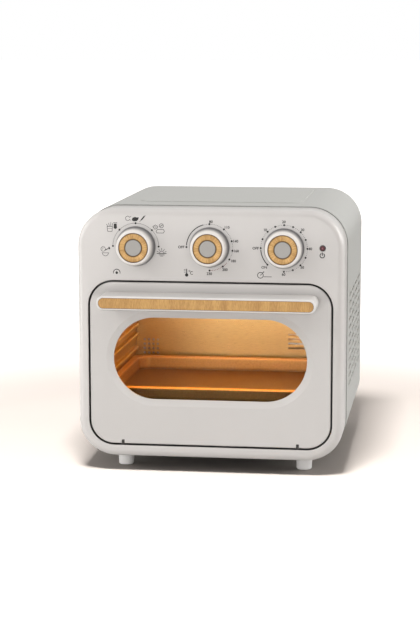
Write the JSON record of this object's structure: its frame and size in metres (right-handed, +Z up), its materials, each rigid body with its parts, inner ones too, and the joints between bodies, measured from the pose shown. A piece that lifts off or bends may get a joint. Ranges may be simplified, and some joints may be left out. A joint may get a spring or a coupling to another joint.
{
  "type": "air fryer oven",
  "caption": "Countertop hot air oven with a bottom hinged glass front door, a full width handle, round control dials above it, and a sliding tray and rack inside.",
  "frame": {"origin": "under the middle of the whole oven, on the plane it stands on", "axes": "+Z up, -Y towards the door and dials, +X to the right seen from the front"},
  "size_m": [0.35, 0.4026, 0.3495],
  "materials": {
    "casing_paint": "smooth satin paint",
    "front_plastic": "smooth satin cream",
    "knob_plastic": "smooth cream with a soft shine",
    "light_wood": "light oiled wood, straight grain",
    "disc_metal": "fine turned, satin",
    "window_glass": "clear tempered glass",
    "cavity_steel": "rolled, lightly brushed",
    "plated_sheet": "zinc plated sheet",
    "tray_enamel": "dark enamel",
    "tray_steel": "pressed, satin",
    "rack_chrome": "polished wire",
    "heater_sheath": "heat darkened sheath",
    "white_ceramic": "unglazed",
    "fan_aluminium": "stamped",
    "lamination_steel": "stacked sheet",
    "coil_copper": "enamelled wire under tape",
    "bearing_brass": "sintered",
    "screw_steel": "zinc plated",
    "black_plastic": "fine textured",
    "lens_red": "dark tinted lens",
    "seal_rubber": "silicone",
    "foot_plastic": "firm light rubber"
  },
  "bodies": {
    "housing": {"outer_casing": "casing_paint", "front_frame": "front_plastic", "base_plate": "plated_sheet", "feet": "foot_plastic", "rear_panel": "plated_sheet", "rear_vent_cover": "black_plastic", "casing_screws": "screw_steel", "cord_gland": "black_plastic", "cavity_front_flange": "cavity_steel", "door_seal": "seal_rubber", "cavity_side_left": "cavity_steel", "cavity_side_right": "cavity_steel", "cavity_back": "cavity_steel", "cavity_ceiling": "cavity_steel", "cavity_floor": "cavity_steel", "crumb_tray": "tray_enamel", "fan_chamber": "plated_sheet", "fan_guard": "cavity_steel", "upper_heater": "heater_sheath", "lower_heaters": "heater_sheath", "heater_ceramics": "white_ceramic", "motor_mount": "plated_sheet", "motor_stator": "lamination_steel", "motor_coil": "coil_copper", "motor_bearings": "bearing_brass", "thermal_cutout": "white_ceramic", "terminal_block": "white_ceramic", "control_bracket": "plated_sheet", "function_switch": "black_plastic", "thermostat": "plated_sheet", "timer": "plated_sheet", "indicator_lens": "lens_red", "hinge_brackets": "plated_sheet"},
    "door": {"door_front_moulding": "front_plastic", "door_inner_frame": "cavity_steel", "window_glass_outer": "window_glass", "glass_spacer": "black_plastic", "window_glass_inner": "window_glass", "hinge_pins": "screw_steel", "handle_body": "front_plastic", "handle_wood_strip": "light_wood", "handle_screws": "screw_steel"},
    "fan": {"fan_impeller": "fan_aluminium", "cooling_fan": "fan_aluminium", "motor_rotor": "lamination_steel", "motor_shaft": "screw_steel"},
    "tray": {"baking_tray": "tray_steel"},
    "rack": {"wire_rack": "rack_chrome"},
    "function_control": {"function_knob": "knob_plastic", "function_knob_ring": "light_wood", "function_knob_disc": "disc_metal", "function_shaft": "screw_steel"},
    "temperature_control": {"temperature_knob": "knob_plastic", "temperature_knob_ring": "light_wood", "temperature_knob_disc": "disc_metal", "temperature_shaft": "screw_steel"},
    "timer_control": {"timer_knob": "knob_plastic", "timer_knob_ring": "light_wood", "timer_knob_disc": "disc_metal", "timer_shaft": "screw_steel"}
  },
  "joints": [
    {"name": "door_hinge", "type": "hinge", "parent": "housing", "child": "door", "pos_m": [0, -0.15655, 0.0411], "axis": [1, 0, 0], "range_deg": [0, 85]},
    {"name": "fan_spin", "type": "hinge", "parent": "housing", "child": "fan", "pos_m": [0, 0.00125, 0.3], "axis": [0, 0, 1], "continuous": true},
    {"name": "tray_slide", "type": "slide", "parent": "housing", "child": "tray", "axis": [0, -1, 0], "range_m": [0, 0.115]},
    {"name": "rack_slide", "type": "slide", "parent": "housing", "child": "rack", "axis": [0, -1, 0], "range_m": [0, 0.056]},
    {"name": "function_turn", "type": "hinge", "parent": "housing", "child": "function_control", "pos_m": [-0.0963, -0.16875, 0.2993], "axis": [0, 1, 0], "range_deg": [-90, 90]},
    {"name": "temperature_turn", "type": "hinge", "parent": "housing", "child": "temperature_control", "pos_m": [0, -0.16875, 0.2993], "axis": [0, 1, 0], "range_deg": [-90, 180]},
    {"name": "timer_turn", "type": "hinge", "parent": "housing", "child": "timer_control", "pos_m": [0.0963, -0.16875, 0.2993], "axis": [0, 1, 0], "range_deg": [-135, 180]}
  ],
  "couplings": [
    {"joint": "tray_slide", "follows": "door_hinge", "m_per_rad": 0.075},
    {"joint": "rack_slide", "follows": "door_hinge", "m_per_rad": 0.036}
  ]
}
